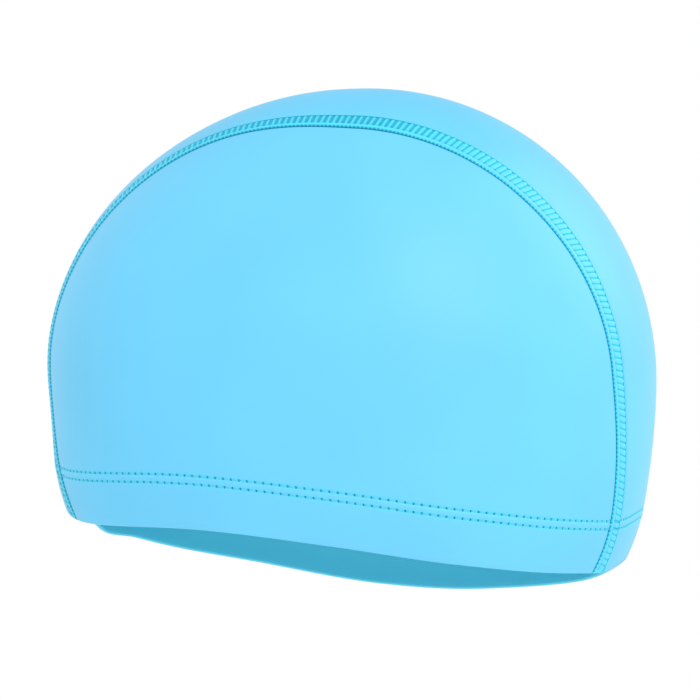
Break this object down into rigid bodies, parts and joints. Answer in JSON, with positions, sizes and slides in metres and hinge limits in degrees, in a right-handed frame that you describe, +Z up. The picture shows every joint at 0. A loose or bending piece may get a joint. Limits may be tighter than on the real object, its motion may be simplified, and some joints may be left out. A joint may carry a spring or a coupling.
{
  "type": "swim cap",
  "caption": "Stretch-cloth swim cap with side panels, a front-to-back centre panel, raised stitched seams and a turned-in stitched hem, in its worn shape.",
  "frame": {"origin": "where the top of the wearer's head touches the inside of the crown, 1 mm under the cap's highest point", "axes": "+Z up; -Y towards the forehead, +Y towards the nape; +X towards the wearer's left ear"},
  "size_m": [0.168, 0.21, 0.1706],
  "materials": {
    "coated_cloth": "smooth matt coated stretch cloth, pale turquoise",
    "seam_cloth": "matt stretch cloth packed by stitching, deeper turquoise",
    "cloth_back": "plain fine-knit back of the cloth, darker turquoise",
    "thread": "polyester sewing thread, turquoise"
  },
  "bodies": {
    "root": {"side_panel_left": "coated_cloth", "side_panel_right": "coated_cloth", "centre_panel": "coated_cloth", "seam_left": "seam_cloth", "seam_right": "seam_cloth", "hem_facing": "cloth_back"}
  },
  "joints": []
}
